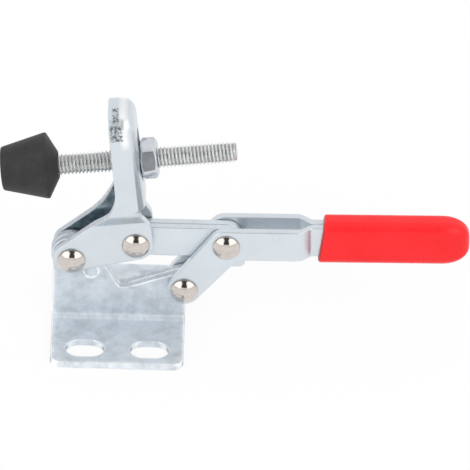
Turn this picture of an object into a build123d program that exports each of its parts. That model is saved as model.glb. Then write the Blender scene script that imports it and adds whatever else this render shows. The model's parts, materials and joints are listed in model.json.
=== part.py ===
"""Toggle clamp with an upright handle, standing open. All sizes are in millimetres.

Frame: X runs along the clamp, from the rubber cap at -X to the hand grip at +X. Y is the width, with
the front half of every pair at -Y. Z is up. The origin is at the middle of the base's underside.

The linkage is a four-bar: the arm turns on its pivot in the base, the handle's crank turns on the other
base pivot, and the double link joins them. The link's length follows from the open pose.
"""

import os
from math import asin, atan2, cos, degrees, hypot, radians, sin, sqrt, tan

from build123d import *

os.makedirs("parts", exist_ok=True)

# ---------------------------------------------------------------- driving dimensions

# Linkage: fixed pivots in the base, lengths of the two bars that turn on them, and their open pose
arm_pivot_x = -13.1
arm_pivot_z = 23.0
handle_pivot_x = 17.8
handle_pivot_z = 13.8
arm_lever_length = 18.28
arm_open_angle = 17.71  # of the line between the arm's rivets, above the horizontal
crank_length = 18.63
crank_open_angle = 53.07  # of the crank above the horizontal

# Side gaps between the layers of the stack
handle_side_gap = 0.3
arm_side_gap = 0.5
head_play = 0.1  # between a rivet's head and a bar that turns under it
pivot_clearance = 0.05  # radial, round a rivet that a bar turns on

# Base plates
base_sheet = 2.2
base_length = 36.4
flange_reach = 23.3
base_bend_radius = 1.5
flange_corner_radius = 3.0
arm_ear_radius = 5.6
handle_ear_radius = 4.4
ear_root_radius = 1.2
notch_x = 1.1
notch_floor_z = 12.6
notch_floor_width = 2.4
notch_corner_radius = 1.0
notch_shoulder_x = -3.4
notch_shoulder_z = 18.8
notch_shoulder_radius = 8.0
slot_length = 10.4
slot_width = 7.3
slot_spacing_x = 17.6
slot_spacing_y = 33.1
clinch_x = -7.65
clinch_z = 17.45
clinch_radius = 2.2
clinch_depth = 0.35

# Rivets
rivet_shank_radius = 2.5
rivet_head_radius = 3.75
rivet_rim_height = 0.4
rivet_dome_height = 1.75

# Arm, in its own frame: the origin at its pivot, the channel upright, x towards the web
arm_sheet = 2.2
arm_lever_angle = 10.6  # of the line between its two rivets, above its own x axis
arm_pivot_end_radius = 4.7
arm_pivot_end_shift = 0.4  # of this end's centre from the rivet, back as well as up
arm_link_end_radius = 4.8
arm_bar_radius = 3.6  # from the pivot to the bar's lower edge, past which the pivot's end swells
arm_bar_root_radius = 3.0
arm_slope_angle = 34.0  # of the cheek's upper edge
arm_slope_radius = 13.0
channel_back_x = 14.2  # of the cheek's back edge, where the slope ends
channel_back_top_x = 14.9  # of the same edge, level with the crown
channel_web_x = 22.0
channel_top_z = 47.2
channel_crown_radius = 5.5
channel_fold_radius = 3.7
joggle_start_z = 10.9
joggle_height = 4.0
joggle_bend_radius = 1.0
web_foot_gap = 0.2  # from the end of the joggle's bend up to the web
cheek_shoulder_height = 5.6  # of the free edge's shoulder, above the link's rivet
cheek_shoulder_radius = 4.0
cheek_neck_height = 3.6  # of the neck above the shoulder
cheek_neck_step = 1.0  # of the neck, right of the web's inner face
cheek_neck_radius = 4.0
web_foot_step = 0.5  # of the free edge's top end, right of the web's inner face
web_slot_gap = 0.15  # beside the spindle
web_slot_foot_z = 21.6
web_slot_top_z = 38.6

# Spindle, nuts and rubber cap, on one axis across the channel
spindle_z = 28.9
spindle_radius = 3.0
spindle_length = 60.0
spindle_end_x = 48.1
spindle_chamfer = 0.6
nut_across_flats = 10.0
nut_height = 4.7
nut_face_step = 0.55  # from the flats in to the round bearing face
nut_bevel_angle = 30.0
outer_nut_turn = -23.0  # of its flats, from the sideways ones of the inner nut
nut_gap = 0.2  # beside the inner nut's flats, in the channel
nut_fold_gap = 0.05  # from its bearing face to the fold's inner rounding
thread_gap = 0.02
cap_face_x = -16.1
cap_face_radius = 5.9
cap_rim_x = -4.1
cap_rim_radius = 9.0
cap_rim_width = 0.6
cap_back_x = -0.5
cap_back_radius = 3.3
cap_face_edge_radius = 0.6

# Link, with its own x axis from the arm's rivet to the handle's
link_sheet = 2.2
link_upper_height = 4.4
link_lower_height = 5.0
stop_reach = 5.2
stop_depth = 8.2
stop_corner_radius = 1.6
stop_foot_width = 6.0
stop_slope_width = 5.0
stop_root_radius = 3.0

# Handle, with its origin at the link's rivet and its x axis along the strip
strip_sheet = 2.2
handle_bend_angle = 52.05  # between the crank and the strip
strip_rise = 5.05
strip_drop = 4.45
crank_half_width = 5.15
crank_end_radius = 4.6
crank_shoulder_radius = 4.5
crank_root_radius = 3.0
strip_joggle_start = 20.3
strip_joggle_length = 2.9
strip_bend_radius = 1.5
strip_end = 63.0
grip_height = 13.2
grip_thickness = 8.0
grip_edge_radius = 3.0
grip_start = 25.8
grip_slant = 6.0
grip_end = 66.3
grip_end_bulge = 1.0
grip_corner_radius = 4.6

# ---------------------------------------------------------------- layout worked out from them

# Half-widths of the stack, from the middle plane out
core_half = max(base_sheet, link_sheet)
strip_joggle_end = strip_joggle_start + strip_joggle_length
strip_inner = core_half + handle_side_gap
strip_outer = strip_inner + strip_sheet
cheek_inner = core_half + arm_side_gap
cheek_outer = cheek_inner + arm_sheet
nut_face_radius = nut_across_flats / 2 - nut_face_step
channel_inner = nut_across_flats / 2 + nut_gap
channel_outer = channel_inner + arm_sheet
channel_web_inner = channel_web_x - arm_sheet
channel_fold_inner_radius = channel_inner - nut_face_radius - nut_fold_gap

# Heights of the joggle and of the web above it, along the arm
joggle_end_z = joggle_start_z + joggle_height
joggle_angle = degrees(atan2(channel_outer - cheek_outer, joggle_height))
joggle_bend_end_z = joggle_end_z + (joggle_bend_radius + arm_sheet) * tan(radians(joggle_angle / 2))
web_foot_z = joggle_bend_end_z + web_foot_gap
web_slot_width = 2 * (spindle_radius + web_slot_gap)

pivot_hole_radius = rivet_shank_radius + pivot_clearance

# A reach past the whole clamp, for profiles that are cut to length by another view
far = 150.0


def polar(centre, radius, angle):
    """The point at a radius and an angle in degrees from a centre."""
    return (centre[0] + radius * cos(radians(angle)), centre[1] + radius * sin(radians(angle)))


def bearing(start, end):
    """The angle in degrees of the line from start to end."""
    return degrees(atan2(end[1] - start[1], end[0] - start[0]))


def tangent_point(point, centre, radius, side):
    """Where a line from the point touches a circle, at its left (side 1) or right (side -1)."""
    distance = hypot(centre[0] - point[0], centre[1] - point[1])
    angle = bearing(point, centre) + side * degrees(asin(radius / distance))
    return polar(point, sqrt(distance**2 - radius**2), angle)


def at_height(start, end, height):
    """The point at a height on the line through start and end."""
    share = (height - start[1]) / (end[1] - start[1])
    return (start[0] + share * (end[0] - start[0]), height)


# Pivots in the side view, as (x, z)
arm_pivot = (arm_pivot_x, arm_pivot_z)
handle_pivot = (handle_pivot_x, handle_pivot_z)
arm_link_pivot = polar(arm_pivot, arm_lever_length, arm_open_angle)
handle_link_pivot = polar(handle_pivot, crank_length, crank_open_angle)
link_length = hypot(handle_link_pivot[0] - arm_link_pivot[0], handle_link_pivot[1] - arm_link_pivot[1])

arm_lean = arm_open_angle - arm_lever_angle
link_tilt = bearing(arm_link_pivot, handle_link_pivot)
handle_tilt = crank_open_angle - handle_bend_angle


def side_plane(origin, tilt):
    """A side view: its x axis is tilted up from X by tilt degrees, and it faces the front."""
    direction = (cos(radians(tilt)), 0, sin(radians(tilt)))
    return Plane(origin=(origin[0], 0, origin[1]), x_dir=direction, z_dir=(0, -1, 0))


def front_plane(origin, tilt):
    """The view along that side view's x axis: its own x axis is Y, and its y axis is the bar's up."""
    direction = (cos(radians(tilt)), 0, sin(radians(tilt)))
    return Plane(origin=(origin[0], 0, origin[1]), x_dir=(0, 1, 0), z_dir=direction)


def plan_plane(origin, tilt):
    """The view down on a bar: its x axis is the bar's, and its y axis is Y."""
    along = (cos(radians(tilt)), 0, sin(radians(tilt)))
    up = (-sin(radians(tilt)), 0, cos(radians(tilt)))
    return Plane(origin=(origin[0], 0, origin[1]), x_dir=along, z_dir=up)


base_side = side_plane((0, 0), 0)
arm_side = side_plane(arm_pivot, arm_lean)
arm_front = front_plane(arm_pivot, arm_lean)
link_side = side_plane(arm_link_pivot, link_tilt)
handle_side = side_plane(handle_link_pivot, handle_tilt)
handle_plan = plan_plane(handle_link_pivot, handle_tilt)

# ---------------------------------------------------------------- base plates

notch_left = (notch_x - notch_floor_width / 2, notch_floor_z)
notch_right = (notch_x + notch_floor_width / 2, notch_floor_z)
notch_shoulder = (notch_shoulder_x, notch_shoulder_z)
notch_left_top = tangent_point(notch_shoulder, arm_pivot, arm_ear_radius, -1)
notch_right_top = tangent_point(notch_right, handle_pivot, handle_ear_radius, 1)
ear_overhang = base_length / 2 - handle_pivot_x
ear_root = (base_length / 2, handle_pivot_z - sqrt(handle_ear_radius**2 - ear_overhang**2))

with BuildPart() as base_plate_front:
    # The bent sheet: an upright and a flange, as one L section
    with BuildSketch(Plane.YZ.offset(-far / 2)) as base_section:
        with BuildLine():
            Polyline(
                (0, 0),
                (-flange_reach, 0),
                (-flange_reach, base_sheet),
                (-base_sheet, base_sheet),
                (-base_sheet, far / 2),
                (0, far / 2),
                close=True,
            )
        make_face()
        fillet(base_section.vertices().sort_by_distance((-base_sheet, base_sheet))[0], base_bend_radius)
        fillet(base_section.vertices().sort_by_distance((0, 0))[0], base_bend_radius + base_sheet)
    extrude(amount=far)
    # Its outline in the side view, with an ear round each pivot and the notch between them
    with BuildSketch(base_side) as base_outline:
        with BuildLine():
            Polyline(
                (-base_length / 2, 0),
                (base_length / 2, 0),
                (base_length / 2, handle_pivot_z),
                handle_pivot,
                notch_right_top,
                notch_right,
                notch_left,
                notch_shoulder,
                notch_left_top,
                arm_pivot,
                (-base_length / 2, arm_pivot_z),
                close=True,
            )
        make_face()
        with Locations(arm_pivot):
            Circle(arm_ear_radius)
        with Locations(handle_pivot):
            Circle(handle_ear_radius)
        for corner in (notch_left, notch_right):
            fillet(base_outline.vertices().sort_by_distance(corner)[0], notch_corner_radius)
        fillet(base_outline.vertices().sort_by_distance(notch_shoulder)[0], notch_shoulder_radius)
        fillet(base_outline.vertices().sort_by_distance(ear_root)[0], ear_root_radius)
    extrude(amount=far, mode=Mode.INTERSECT)
    fillet(base_plate_front.edges().filter_by(Axis.Z).group_by(Axis.Y)[0], flange_corner_radius)
    # Slots in the flange, rivet holes in the ears
    with BuildSketch(Plane.XY):
        with Locations((-slot_spacing_x / 2, -slot_spacing_y / 2), (slot_spacing_x / 2, -slot_spacing_y / 2)):
            SlotOverall(slot_length, slot_width)
    extrude(amount=base_sheet, mode=Mode.SUBTRACT)
    with BuildSketch(base_side):
        with Locations(arm_pivot, handle_pivot):
            Circle(rivet_shank_radius)
    extrude(amount=base_sheet, mode=Mode.SUBTRACT)
    # Pressed mark where the two uprights are joined
    with BuildSketch(side_plane((clinch_x, clinch_z), 0).offset(base_sheet)):
        Circle(clinch_radius)
    extrude(amount=-clinch_depth, taper=45, mode=Mode.SUBTRACT)
base_plate_front.part.label = "base_plate_front"
export_step(base_plate_front.part, "parts/base_plate_front.step")

with BuildPart() as base_plate_rear:
    mirror(base_plate_front.part, about=Plane.XZ)
base_plate_rear.part.label = "base_plate_rear"
export_step(base_plate_rear.part, "parts/base_plate_rear.step")

# ---------------------------------------------------------------- rivets


def rivet_half(centre, start, grip):
    """Half of a rivet across the clamp, from start to its domed head, which seats at grip."""
    rim = grip + rivet_rim_height
    crown = rim + rivet_dome_height
    with BuildPart() as half:
        with BuildSketch(Plane(origin=(centre[0], 0, centre[1]), x_dir=(1, 0, 0), z_dir=(0, 0, -1))):
            with BuildLine():
                Polyline(
                    (0, crown),
                    (0, start),
                    (rivet_shank_radius, start),
                    (rivet_shank_radius, grip),
                    (rivet_head_radius, grip),
                    (rivet_head_radius, rim),
                )
                sphere = (rivet_head_radius**2 + rivet_dome_height**2) / (2 * rivet_dome_height)
                RadiusArc((rivet_head_radius, rim), (0, crown), -sphere)
            make_face()
        revolve(axis=Axis((centre[0], 0, centre[1]), (0, 1, 0)))
    return half.part


def whole_rivet(centre, grip):
    """A rivet right across the clamp, with a domed head at each end."""
    with BuildPart() as rivet:
        half = rivet_half(centre, 0, grip)
        add(half)
        mirror(half, about=Plane.XZ)
    return rivet.part


with BuildPart() as rivet_arm_pivot:
    add(whole_rivet(arm_pivot, cheek_outer + head_play))
rivet_arm_pivot.part.label = "rivet_arm_pivot"
export_step(rivet_arm_pivot.part, "parts/rivet_arm_pivot.step")

with BuildPart() as rivet_handle_pivot:
    add(whole_rivet(handle_pivot, strip_outer + head_play))
rivet_handle_pivot.part.label = "rivet_handle_pivot"
export_step(rivet_handle_pivot.part, "parts/rivet_handle_pivot.step")

with BuildPart() as rivet_handle_link:
    add(whole_rivet(handle_link_pivot, strip_outer))
rivet_handle_link.part.label = "rivet_handle_link"
export_step(rivet_handle_link.part, "parts/rivet_handle_link.step")

# This rivet is the pivot where the linkage is opened, so it is left out between the cheeks
with BuildPart() as rivet_arm_link:
    arm_link_half = rivet_half(arm_link_pivot, cheek_inner - head_play, cheek_outer)
    add(arm_link_half)
    mirror(arm_link_half, about=Plane.XZ)
rivet_arm_link.part.label = "rivet_arm_link"
export_step(rivet_arm_link.part, "parts/rivet_arm_link.step")

# ---------------------------------------------------------------- arm

arm_link_local = polar((0, 0), arm_lever_length, arm_lever_angle)
arm_end_centre = (-arm_pivot_end_shift, arm_pivot_end_shift)
slope_foot = polar(arm_end_centre, arm_pivot_end_radius, 90 + arm_slope_angle)
bar_root = (sqrt(arm_pivot_end_radius**2 - arm_bar_radius**2), -arm_bar_radius)
slope_rise = (channel_back_x - slope_foot[0]) * tan(radians(arm_slope_angle))
slope_top = (channel_back_x, slope_foot[1] + slope_rise)
channel_back_top = (channel_back_top_x, channel_top_z)
cheek_shoulder_x = arm_link_local[0] + arm_link_end_radius
cheek_shoulder = (cheek_shoulder_x, arm_link_local[1] + cheek_shoulder_height)
cheek_neck = (channel_web_inner + cheek_neck_step, cheek_shoulder[1] + cheek_neck_height)
cheek_foot_z = -2 * arm_pivot_end_radius

# Front view of the folded sheet's outside: two cheeks, the joggle, and the closed crown of the channel
with BuildSketch(arm_front) as arm_outside:
    with BuildLine():
        Polyline(
            (-cheek_outer, cheek_foot_z),
            (-cheek_outer, joggle_start_z),
            (-channel_outer, joggle_end_z),
            (-channel_outer, channel_top_z),
            (channel_outer, channel_top_z),
            (channel_outer, joggle_end_z),
            (cheek_outer, joggle_start_z),
            (cheek_outer, cheek_foot_z),
            close=True,
        )
    make_face()
    for side in (-1, 1):
        joggle_start = arm_outside.vertices().sort_by_distance((side * cheek_outer, joggle_start_z))[0]
        fillet(joggle_start, joggle_bend_radius)
        joggle_end = arm_outside.vertices().sort_by_distance((side * channel_outer, joggle_end_z))[0]
        fillet(joggle_end, joggle_bend_radius + arm_sheet)
        crown_corner = arm_outside.vertices().sort_by_distance((side * channel_outer, channel_top_z))[0]
        fillet(crown_corner, channel_crown_radius)

# The space inside it, one sheet smaller all round and open at the foot
with BuildSketch(arm_front) as arm_inside:
    add(arm_outside.sketch_local)
    offset(amount=-arm_sheet, kind=Kind.INTERSECTION)
    with Locations((0, cheek_foot_z)):
        Rectangle(2 * cheek_inner, 4 * arm_sheet)

# Both are parted at the web's foot: cheeks below it, the channel above it
with BuildSketch(arm_front) as cheek_profile:
    add(arm_outside.sketch_local)
    add(arm_inside.sketch_local, mode=Mode.SUBTRACT)
    with Locations((0, web_foot_z)):
        Rectangle(far, far, align=(Align.CENTER, Align.MIN), mode=Mode.SUBTRACT)

with BuildSketch(arm_front.offset(channel_web_x)) as channel_outside:
    add(arm_outside.sketch_local)
    with Locations((0, web_foot_z)):
        Rectangle(far, far, align=(Align.CENTER, Align.MAX), mode=Mode.SUBTRACT)

with BuildSketch(arm_front.offset(channel_web_inner)) as channel_inside:
    add(arm_inside.sketch_local)
    with Locations((0, web_foot_z)):
        Rectangle(far, far, align=(Align.CENTER, Align.MAX), mode=Mode.SUBTRACT)

with BuildPart() as clamp_arm:
    # Channel, with rounded folds where its sides and crown turn into the web
    extrude(channel_outside.sketch, amount=-far)
    web_face = clamp_arm.faces().filter_by(arm_front).sort_by(Axis.X)[-1]
    fillet(web_face.edges().sort_by(Axis.Z)[1:], channel_fold_radius)
    extrude(channel_inside.sketch, amount=-far, mode=Mode.SUBTRACT)
    web_back = clamp_arm.faces().filter_by(arm_front).sort_by(Axis.X)[-2]
    fillet(web_back.edges().sort_by(Axis.Z)[1:], channel_fold_inner_radius)
    extrude(cheek_profile.sketch, amount=far, both=True)
    # Side view: the bar between the two rivets, and the upright of the channel on top of it
    with BuildSketch(arm_side) as arm_outline:
        Circle(arm_bar_radius)
        with Locations(arm_link_local):
            Circle(arm_link_end_radius)
        make_hull()
        with Locations(arm_end_centre):
            Circle(arm_pivot_end_radius)
        with BuildLine():
            Polyline(
                (0, 0),
                slope_foot,
                slope_top,
                at_height(slope_top, channel_back_top, far / 2),
                (far / 2, far / 2),
                (far / 2, web_foot_z),
                (channel_web_inner + web_foot_step, web_foot_z),
                cheek_neck,
                cheek_shoulder,
                (cheek_shoulder_x, arm_link_local[1]),
                arm_link_local,
                close=True,
            )
        make_face()
        fillet(arm_outline.vertices().sort_by_distance(bar_root)[0], arm_bar_root_radius)
        fillet(arm_outline.vertices().sort_by_distance(slope_top)[0], arm_slope_radius)
        fillet(arm_outline.vertices().sort_by_distance(cheek_neck)[0], cheek_neck_radius)
        fillet(arm_outline.vertices().sort_by_distance(cheek_shoulder)[0], cheek_shoulder_radius)
    extrude(amount=far, both=True, mode=Mode.INTERSECT)
    # Slot for the spindle, rivet holes in the cheeks
    with BuildSketch(arm_front.offset(channel_web_x)):
        with Locations((0, (web_slot_foot_z + web_slot_top_z) / 2)):
            SlotOverall(web_slot_top_z - web_slot_foot_z, web_slot_width, rotation=90)
    extrude(amount=-2 * arm_sheet, mode=Mode.SUBTRACT)
    with BuildSketch(arm_side):
        Circle(pivot_hole_radius)
        with Locations(arm_link_local):
            Circle(rivet_shank_radius)
    extrude(amount=far, both=True, mode=Mode.SUBTRACT)
clamp_arm.part.label = "clamp_arm"
export_step(clamp_arm.part, "parts/clamp_arm.step")

# ---------------------------------------------------------------- spindle, nuts and rubber cap

spindle_start_x = spindle_end_x - spindle_length
spindle_axis_start = arm_front.from_local_coords((0, spindle_z, 0))
spindle_axis = Axis(spindle_axis_start, arm_front.z_dir)

with BuildPart() as spindle:
    with BuildSketch(arm_front.offset(spindle_start_x)):
        with Locations((0, spindle_z)):
            Circle(spindle_radius)
    extrude(amount=spindle_length)
    chamfer(spindle.edges().filter_by(GeomType.CIRCLE), spindle_chamfer)
spindle.part.label = "spindle"
export_step(spindle.part, "parts/spindle.step")


def hexagon_nut(start_x, turn):
    """A nut on the spindle's axis from start_x, its flats turned from the sideways direction."""
    corner_radius = nut_across_flats / 2 / cos(radians(30))
    bevel = (corner_radius - nut_face_radius) * tan(radians(nut_bevel_angle))
    with BuildPart() as nut:
        with BuildSketch(arm_front.offset(start_x)):
            with Locations((0, spindle_z)):
                RegularPolygon(nut_across_flats / 2, 6, major_radius=False, rotation=30 + turn)
                Circle(spindle_radius + thread_gap, mode=Mode.SUBTRACT)
        extrude(amount=nut_height)
        # Both ends are turned to a cone that takes the corners off
        with BuildSketch(arm_side):
            with BuildLine():
                Polyline(
                    (start_x, spindle_z),
                    (start_x, spindle_z + nut_face_radius),
                    (start_x + bevel, spindle_z + corner_radius),
                    (start_x + nut_height - bevel, spindle_z + corner_radius),
                    (start_x + nut_height, spindle_z + nut_face_radius),
                    (start_x + nut_height, spindle_z),
                    close=True,
                )
            make_face()
        revolve(axis=spindle_axis, mode=Mode.INTERSECT)
    return nut.part


with BuildPart() as nut_outer:
    add(hexagon_nut(channel_web_x, outer_nut_turn))
nut_outer.part.label = "nut_outer"
export_step(nut_outer.part, "parts/nut_outer.step")

with BuildPart() as nut_inner:
    add(hexagon_nut(channel_web_inner - nut_height, 0))
nut_inner.part.label = "nut_inner"
export_step(nut_inner.part, "parts/nut_inner.step")

with BuildPart() as rubber_cap:
    # Turned form: a cone that widens from the flat face to a narrow rim, and falls steeply behind it
    with BuildSketch(arm_side) as cap_section:
        with BuildLine():
            Polyline(
                (cap_face_x, spindle_z),
                (cap_face_x, spindle_z + cap_face_radius),
                (cap_rim_x, spindle_z + cap_rim_radius),
                (cap_rim_x + cap_rim_width, spindle_z + cap_rim_radius),
                (cap_back_x, spindle_z + cap_back_radius),
                (cap_back_x, spindle_z),
                close=True,
            )
        make_face()
        face_corner = cap_section.vertices().sort_by_distance((cap_face_x, spindle_z + cap_face_radius))[0]
        fillet(face_corner, cap_face_edge_radius)
    revolve(axis=spindle_axis)
    # The rod is pushed into it as far as its end
    with BuildSketch(arm_front.offset(cap_back_x)):
        with Locations((0, spindle_z)):
            Circle(spindle_radius)
    extrude(amount=spindle_start_x - cap_back_x, mode=Mode.SUBTRACT)
rubber_cap.part.label = "rubber_cap"
export_step(rubber_cap.part, "parts/rubber_cap.step")

# ---------------------------------------------------------------- link

stop_corner = (link_length + stop_reach, -stop_depth)
stop_foot = (link_length + stop_reach - stop_foot_width, -stop_depth)
stop_root = (stop_foot[0] - stop_slope_width, -link_lower_height)

with BuildPart() as link_plate_front:
    with BuildSketch(link_side) as link_outline:
        with BuildLine():
            Polyline(
                (0, link_upper_height),
                (link_length, link_upper_height),
                (link_length + stop_reach, 0),
                stop_corner,
                stop_foot,
                stop_root,
                (0, -link_lower_height),
                close=True,
            )
        make_face()
        fillet(link_outline.vertices().sort_by_distance(stop_root)[0], stop_root_radius)
        for corner in (stop_corner, stop_foot, (link_length + stop_reach, 0)):
            fillet(link_outline.vertices().sort_by_distance(corner)[0], stop_corner_radius)
        # Round end at the arm's rivet
        with Locations((0, (link_upper_height - link_lower_height) / 2)):
            Circle((link_upper_height + link_lower_height) / 2)
        with Locations((link_length, 0)):
            Circle(link_upper_height)
            Circle(pivot_hole_radius, mode=Mode.SUBTRACT)
        Circle(pivot_hole_radius, mode=Mode.SUBTRACT)
    extrude(amount=link_sheet)
link_plate_front.part.label = "link_plate_front"
export_step(link_plate_front.part, "parts/link_plate_front.step")

with BuildPart() as link_plate_rear:
    mirror(link_plate_front.part, about=Plane.XZ)
link_plate_rear.part.label = "link_plate_rear"
export_step(link_plate_rear.part, "parts/link_plate_rear.step")

# ---------------------------------------------------------------- handle

# Crank from the strip's origin down to the handle's pivot, in the handle's own side view
crank_pivot_local = polar((0, 0), crank_length, 180 + handle_bend_angle)
crank_left_top = polar((0, 0), crank_half_width, 90 + handle_bend_angle)
crank_left_foot = polar(crank_pivot_local, crank_end_radius, 90 + handle_bend_angle)
crank_right_top = polar((0, 0), crank_half_width, handle_bend_angle - 90)
crank_right_foot = polar(crank_pivot_local, crank_end_radius, handle_bend_angle - 90)
crank_shoulder = at_height(crank_left_foot, crank_left_top, strip_rise)
crank_root = at_height(crank_right_foot, crank_right_top, -strip_drop)

with BuildPart() as handle_strip_front:
    # Plan view: beside the link as far as the joggle, and from there against the other strip
    with BuildSketch(handle_plan) as strip_plan:
        with BuildLine():
            Polyline(
                (-far, -strip_outer),
                (strip_joggle_start, -strip_outer),
                (strip_joggle_end, -strip_sheet),
                (strip_end, -strip_sheet),
                (strip_end, 0),
                (strip_joggle_end, 0),
                (strip_joggle_start, -strip_inner),
                (-far, -strip_inner),
                close=True,
            )
        make_face()
        for start_y, bend in ((-strip_outer, strip_sheet), (-strip_inner, 0)):
            joggle_start = strip_plan.vertices().sort_by_distance((strip_joggle_start, start_y))[0]
            fillet(joggle_start, strip_bend_radius + bend)
        for end_y, bend in ((-strip_sheet, 0), (0, strip_sheet)):
            joggle_end = strip_plan.vertices().sort_by_distance((strip_joggle_end, end_y))[0]
            fillet(joggle_end, strip_bend_radius + bend)
    extrude(amount=far, both=True)
    # Side view: crank and strip in one outline
    with BuildSketch(handle_side) as strip_outline:
        with BuildLine():
            Polyline(
                crank_left_foot,
                crank_shoulder,
                (strip_end, strip_rise),
                (strip_end, -strip_drop),
                crank_root,
                crank_right_foot,
                close=True,
            )
        make_face()
        fillet(strip_outline.vertices().sort_by_distance(crank_shoulder)[0], crank_shoulder_radius)
        fillet(strip_outline.vertices().sort_by_distance(crank_root)[0], crank_root_radius)
        with Locations(crank_pivot_local):
            Circle(crank_end_radius)
            Circle(pivot_hole_radius, mode=Mode.SUBTRACT)
        Circle(rivet_shank_radius, mode=Mode.SUBTRACT)
    extrude(amount=far, both=True, mode=Mode.INTERSECT)
handle_strip_front.part.label = "handle_strip_front"
export_step(handle_strip_front.part, "parts/handle_strip_front.step")

with BuildPart() as handle_strip_rear:
    mirror(handle_strip_front.part, about=Plane.XZ)
handle_strip_rear.part.label = "handle_strip_rear"
export_step(handle_strip_rear.part, "parts/handle_strip_rear.step")

strip_middle_z = (strip_rise - strip_drop) / 2

with BuildPart() as hand_grip:
    # Side view, from behind the dip edge to the bulged end, with all its long edges rounded
    grip_bottom_z = strip_middle_z - grip_height / 2
    grip_top_z = strip_middle_z + grip_height / 2
    grip_bulge_start = grip_end - grip_end_bulge
    with BuildSketch(handle_side) as grip_outline:
        with BuildLine():
            Polyline(
                (grip_bulge_start, grip_bottom_z),
                (grip_start - grip_height, grip_bottom_z),
                (grip_start - grip_height, grip_top_z),
                (grip_bulge_start, grip_top_z),
            )
            bulge_ends = ((grip_bulge_start, grip_top_z), (grip_bulge_start, grip_bottom_z))
            ThreePointArc(bulge_ends[0], (grip_end, strip_middle_z), bulge_ends[1])
        make_face()
        for corner_z in (grip_bottom_z, grip_top_z):
            fillet(grip_outline.vertices().sort_by_distance((grip_bulge_start, corner_z))[0], grip_corner_radius)
    extrude(amount=grip_thickness / 2, both=True)
    fillet(hand_grip.faces().filter_by(Axis.Y).edges(), grip_edge_radius)
    # The dip edge leans back towards the top
    slant_step = grip_height * tan(radians(grip_slant))
    with BuildSketch(handle_side):
        with BuildLine():
            Polyline(
                (grip_start - far, strip_middle_z - grip_height),
                (grip_start - slant_step, strip_middle_z - grip_height),
                (grip_start + slant_step, strip_middle_z + grip_height),
                (grip_start - far, strip_middle_z + grip_height),
                close=True,
            )
        make_face()
    extrude(amount=grip_thickness, both=True, mode=Mode.SUBTRACT)
    # It is moulded round the two strips
    add(handle_strip_front.part, mode=Mode.SUBTRACT)
    add(handle_strip_rear.part, mode=Mode.SUBTRACT)
hand_grip.part.label = "hand_grip"
export_step(hand_grip.part, "parts/hand_grip.step")
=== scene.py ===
"""Toggle clamp with an upright handle: finishes, threads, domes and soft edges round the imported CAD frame."""

import json
from contextlib import contextmanager
from math import acos, atan2, ceil, cos, pi, radians, sin

import bmesh
import bpy
from mathutils import Matrix, Vector


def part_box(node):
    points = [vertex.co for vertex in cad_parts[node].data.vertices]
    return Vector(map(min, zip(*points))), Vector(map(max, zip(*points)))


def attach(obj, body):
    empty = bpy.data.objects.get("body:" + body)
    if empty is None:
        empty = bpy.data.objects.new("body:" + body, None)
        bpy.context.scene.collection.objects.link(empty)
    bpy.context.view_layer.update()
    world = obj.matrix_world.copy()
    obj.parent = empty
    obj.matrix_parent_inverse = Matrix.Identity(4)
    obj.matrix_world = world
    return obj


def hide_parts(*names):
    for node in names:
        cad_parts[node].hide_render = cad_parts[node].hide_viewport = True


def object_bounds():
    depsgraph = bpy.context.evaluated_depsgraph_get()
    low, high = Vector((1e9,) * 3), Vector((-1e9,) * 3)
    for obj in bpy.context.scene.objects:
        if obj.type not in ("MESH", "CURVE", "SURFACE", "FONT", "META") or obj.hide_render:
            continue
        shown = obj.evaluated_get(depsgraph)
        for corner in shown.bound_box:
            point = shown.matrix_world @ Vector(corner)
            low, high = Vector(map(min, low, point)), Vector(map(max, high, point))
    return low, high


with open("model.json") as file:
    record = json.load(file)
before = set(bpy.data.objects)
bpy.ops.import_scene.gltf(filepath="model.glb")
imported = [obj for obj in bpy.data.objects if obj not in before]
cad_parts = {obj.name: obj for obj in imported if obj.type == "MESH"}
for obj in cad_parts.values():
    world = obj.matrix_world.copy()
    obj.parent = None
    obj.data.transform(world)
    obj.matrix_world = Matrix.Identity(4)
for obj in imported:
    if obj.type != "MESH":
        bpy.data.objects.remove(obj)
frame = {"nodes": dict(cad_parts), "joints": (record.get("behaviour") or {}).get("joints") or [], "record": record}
cad_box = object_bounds()
nodes = frame["nodes"]
record = frame["record"]

MM = 0.001

# The shared frame's directions. The photo shows the side that faces FRONT.
ORIGIN = (0, 0, 0)
RIGHT, LEFT = (1, 0, 0), (-1, 0, 0)
BACK, FRONT = (0, 1, 0), (0, -1, 0)
UP = (0, 0, 1)

# The spindle's M6 thread
PITCH = 1.0 * MM
CREST_RADIUS = 2.98 * MM
ROOT_RADIUS = 2.40 * MM

# ---------------------------------------------------------------- places taken from the frame

joint_places = {joint["name"]: Vector(joint["pos_m"]) for joint in frame["joints"]}
arm_pivot = joint_places["arm_swing"]
handle_pivot = joint_places["handle_swing"]
handle_link_pivot = joint_places["link_swing"]
link_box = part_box("rivet_arm_link")
arm_link_pivot = (link_box[0] + link_box[1]) / 2

cap_mount = next(mount for mount in record["mounts"] if mount["name"] == "cap_face")
cap_face_centre = Vector(cap_mount["pos_m"])
spindle_direction = -Vector(cap_mount["axis"])
arm_up = Vector((-spindle_direction.z, 0, spindle_direction.x))

MOSTLY_ACROSS = 0.9


def frame_along(direction, origin):
    """A turned piece's own frame, with its z axis along the direction. Its x axis is upright, or level on a rivet."""
    z_axis = direction.normalized()
    y_axis = Vector(FRONT) if abs(z_axis.y) < MOSTLY_ACROSS else Vector(UP)
    x_axis = y_axis.cross(z_axis).normalized()
    y_axis = z_axis.cross(x_axis)
    matrix = Matrix((x_axis, y_axis, z_axis)).transposed().to_4x4()
    matrix.translation = origin
    return matrix


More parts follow.
